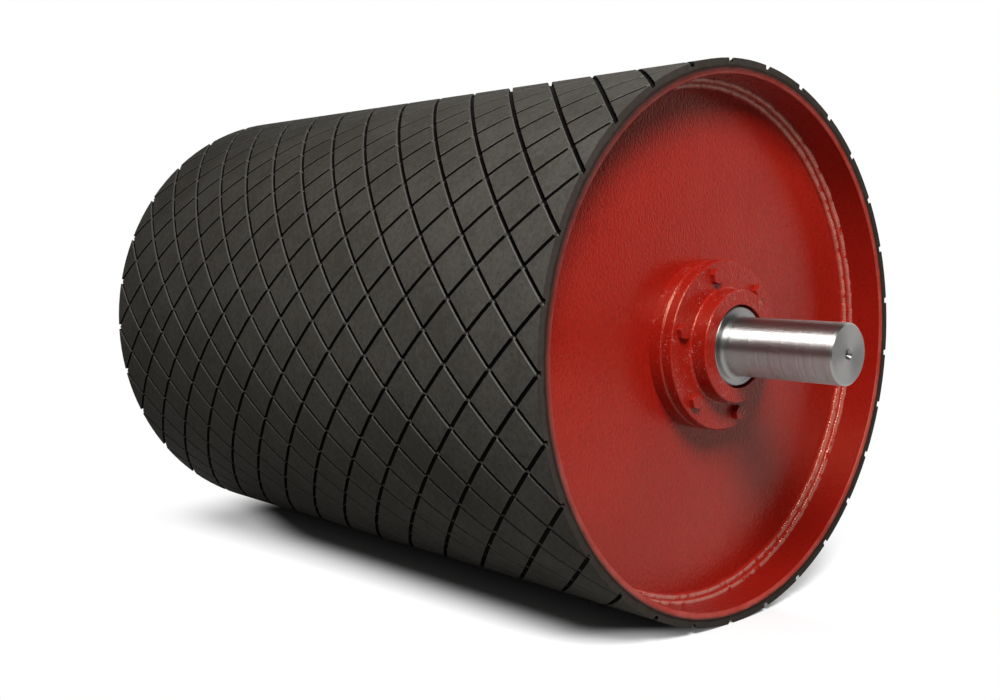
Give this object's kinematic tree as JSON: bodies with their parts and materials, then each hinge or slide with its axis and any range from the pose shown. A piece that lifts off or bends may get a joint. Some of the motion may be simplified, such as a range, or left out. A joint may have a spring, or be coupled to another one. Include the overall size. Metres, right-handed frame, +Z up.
{
  "type": "conveyor pulley drum",
  "caption": "Free-turning conveyor pulley: a steel drum with diamond-grooved rubber lagging on two ball bearings in bolted hubs round a fixed stepped axle.",
  "frame": {"origin": "centre of the drum, on the axle's centre line", "axes": "+Y along the axle towards the far end, +Z up, +X to the side"},
  "size_m": [0.524, 0.975, 0.524],
  "materials": {
    "axle_steel": "fine turned and ground steel",
    "red_paint": "glossy red enamel with a slight orange peel",
    "weld_paint": "glossy red enamel over a rippled weld bead",
    "screw_paint": "red enamel brushed over hexagon heads",
    "lagging_rubber": "matt moulded rubber with a fine grain",
    "gasket_paper": "oiled gasket paper",
    "bearing_steel": "ground and polished",
    "cage_steel": "pressed steel, oiled",
    "seal_rubber": "smooth nitrile rubber"
  },
  "bodies": {
    "fixed_axle": {"axle": "axle_steel", "inner_ring_near": "bearing_steel", "inner_ring_far": "bearing_steel", "retaining_ring_near": "cage_steel", "retaining_ring_far": "cage_steel"},
    "drum": {"drum_tube": "red_paint", "lagging": "lagging_rubber", "end_disc_near": "red_paint", "disc_weld_near": "weld_paint", "bearing_housing_near": "red_paint", "housing_weld_near": "weld_paint", "cover_gasket_near": "gasket_paper", "bearing_cover_near": "red_paint", "cover_screws_near": "screw_paint", "outer_ring_near": "bearing_steel", "shaft_seal_near": "seal_rubber", "end_disc_far": "red_paint", "disc_weld_far": "weld_paint", "bearing_housing_far": "red_paint", "housing_weld_far": "weld_paint", "cover_gasket_far": "gasket_paper", "bearing_cover_far": "red_paint", "cover_screws_far": "screw_paint", "outer_ring_far": "bearing_steel", "shaft_seal_far": "seal_rubber"},
    "cage_near": {"bearing_balls_near": "bearing_steel", "ball_cage_near": "cage_steel"},
    "cage_far": {"bearing_balls_far": "bearing_steel", "ball_cage_far": "cage_steel"}
  },
  "joints": [
    {"name": "drum_spin", "type": "hinge", "parent": "fixed_axle", "child": "drum", "pos_m": [0, 0, 0], "axis": [0, 1, 0], "continuous": true},
    {"name": "cage_near_spin", "type": "hinge", "parent": "fixed_axle", "child": "cage_near", "pos_m": [0, -0.332, 0], "axis": [0, 1, 0], "continuous": true},
    {"name": "cage_far_spin", "type": "hinge", "parent": "fixed_axle", "child": "cage_far", "pos_m": [0, 0.332, 0], "axis": [0, 1, 0], "continuous": true}
  ],
  "couplings": [
    {"joint": "cage_near_spin", "follows": "drum_spin", "ratio": 0.5711},
    {"joint": "cage_far_spin", "follows": "drum_spin", "ratio": 0.5711}
  ]
}
